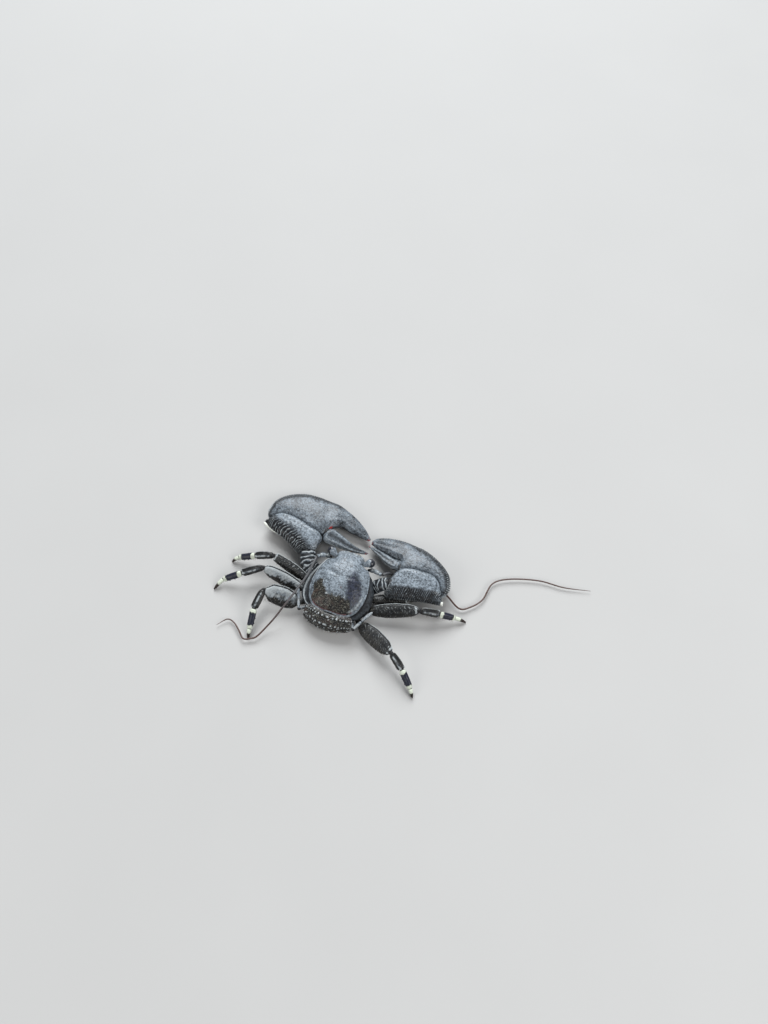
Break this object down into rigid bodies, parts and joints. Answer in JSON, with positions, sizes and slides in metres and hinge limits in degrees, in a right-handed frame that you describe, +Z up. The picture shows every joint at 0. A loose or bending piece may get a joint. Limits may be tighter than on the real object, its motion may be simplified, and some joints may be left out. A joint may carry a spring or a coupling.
{
  "type": "porcelain crab",
  "caption": "Life-size still model of a porcelain crab, standing with its broad flat claws folded in front and its long feelers trailing.",
  "frame": {"origin": "middle of the crab's box seen from above, on the floor that its feet and claws rest on", "axes": "+Z up, +Y the way the head points, +X towards the crab's right side"},
  "size_m": [0.0692, 0.0324, 0.006],
  "materials": {
    "back_shell": "wet charcoal to slate-blue shell, darker and finely speckled olive brown towards the rear",
    "claw_shell": "wet slate-grey shell, granular, with pale rims and pale raised lines on the wrists",
    "leg_shell": "near-black shell with pale crests, fine pale lines and white bands",
    "leg_tip": "pale cream shell ending in a dark brown horny point",
    "under_shell": "pale grey smooth shell of the underside",
    "eye": "glossy dark grey cornea with a fine net of facets",
    "feeler": "fine ringed whip, grey at its root and reddish brown further out"
  },
  "bodies": {
    "root": {"abdomen_back": "back_shell", "abdomen_under": "under_shell", "antenna_left_base": "back_shell", "antenna_left_whip_1": "feeler", "antenna_left_whip_2": "feeler", "antenna_left_whip_3": "feeler", "antenna_right_base": "back_shell", "antenna_right_whip_1": "feeler", "antenna_right_whip_2": "feeler", "antenna_right_whip_3": "feeler", "antenna_right_whip_4": "feeler", "carapace": "back_shell", "cheliped_left_carpus": "claw_shell", "cheliped_left_finger": "claw_shell", "cheliped_left_merus": "claw_shell", "cheliped_left_palm": "claw_shell", "cheliped_right_carpus": "claw_shell", "cheliped_right_finger": "claw_shell", "cheliped_right_merus": "claw_shell", "cheliped_right_palm": "claw_shell", "eye_left": "eye", "eye_right": "eye", "eyestalk_left": "back_shell", "eyestalk_right": "back_shell", "leg_left_2_carpus": "leg_shell", "leg_left_2_dactyl": "leg_tip", "leg_left_2_merus": "leg_shell", "leg_left_2_propodus": "leg_shell", "leg_left_3_carpus": "leg_shell", "leg_left_3_dactyl": "leg_tip", "leg_left_3_merus": "leg_shell", "leg_left_3_propodus": "leg_shell", "leg_left_4_carpus": "leg_shell", "leg_left_4_dactyl": "leg_tip", "leg_left_4_merus": "leg_shell", "leg_left_4_propodus": "leg_shell", "leg_left_5_hand": "leg_shell", "leg_left_5_merus": "leg_shell", "leg_right_2_carpus": "leg_shell", "leg_right_2_dactyl": "leg_tip", "leg_right_2_merus": "leg_shell", "leg_right_2_propodus": "leg_shell", "leg_right_3_carpus": "leg_shell", "leg_right_3_dactyl": "leg_tip", "leg_right_3_merus": "leg_shell", "leg_right_3_propodus": "leg_shell", "leg_right_4_carpus": "leg_shell", "leg_right_4_dactyl": "leg_tip", "leg_right_4_merus": "leg_shell", "leg_right_4_propodus": "leg_shell", "leg_right_5_hand": "leg_shell", "leg_right_5_merus": "leg_shell", "maxilliped_left": "under_shell", "maxilliped_right": "under_shell", "sternum": "under_shell", "telson": "under_shell", "uropod_left": "under_shell", "uropod_right": "under_shell"}
  },
  "joints": []
}
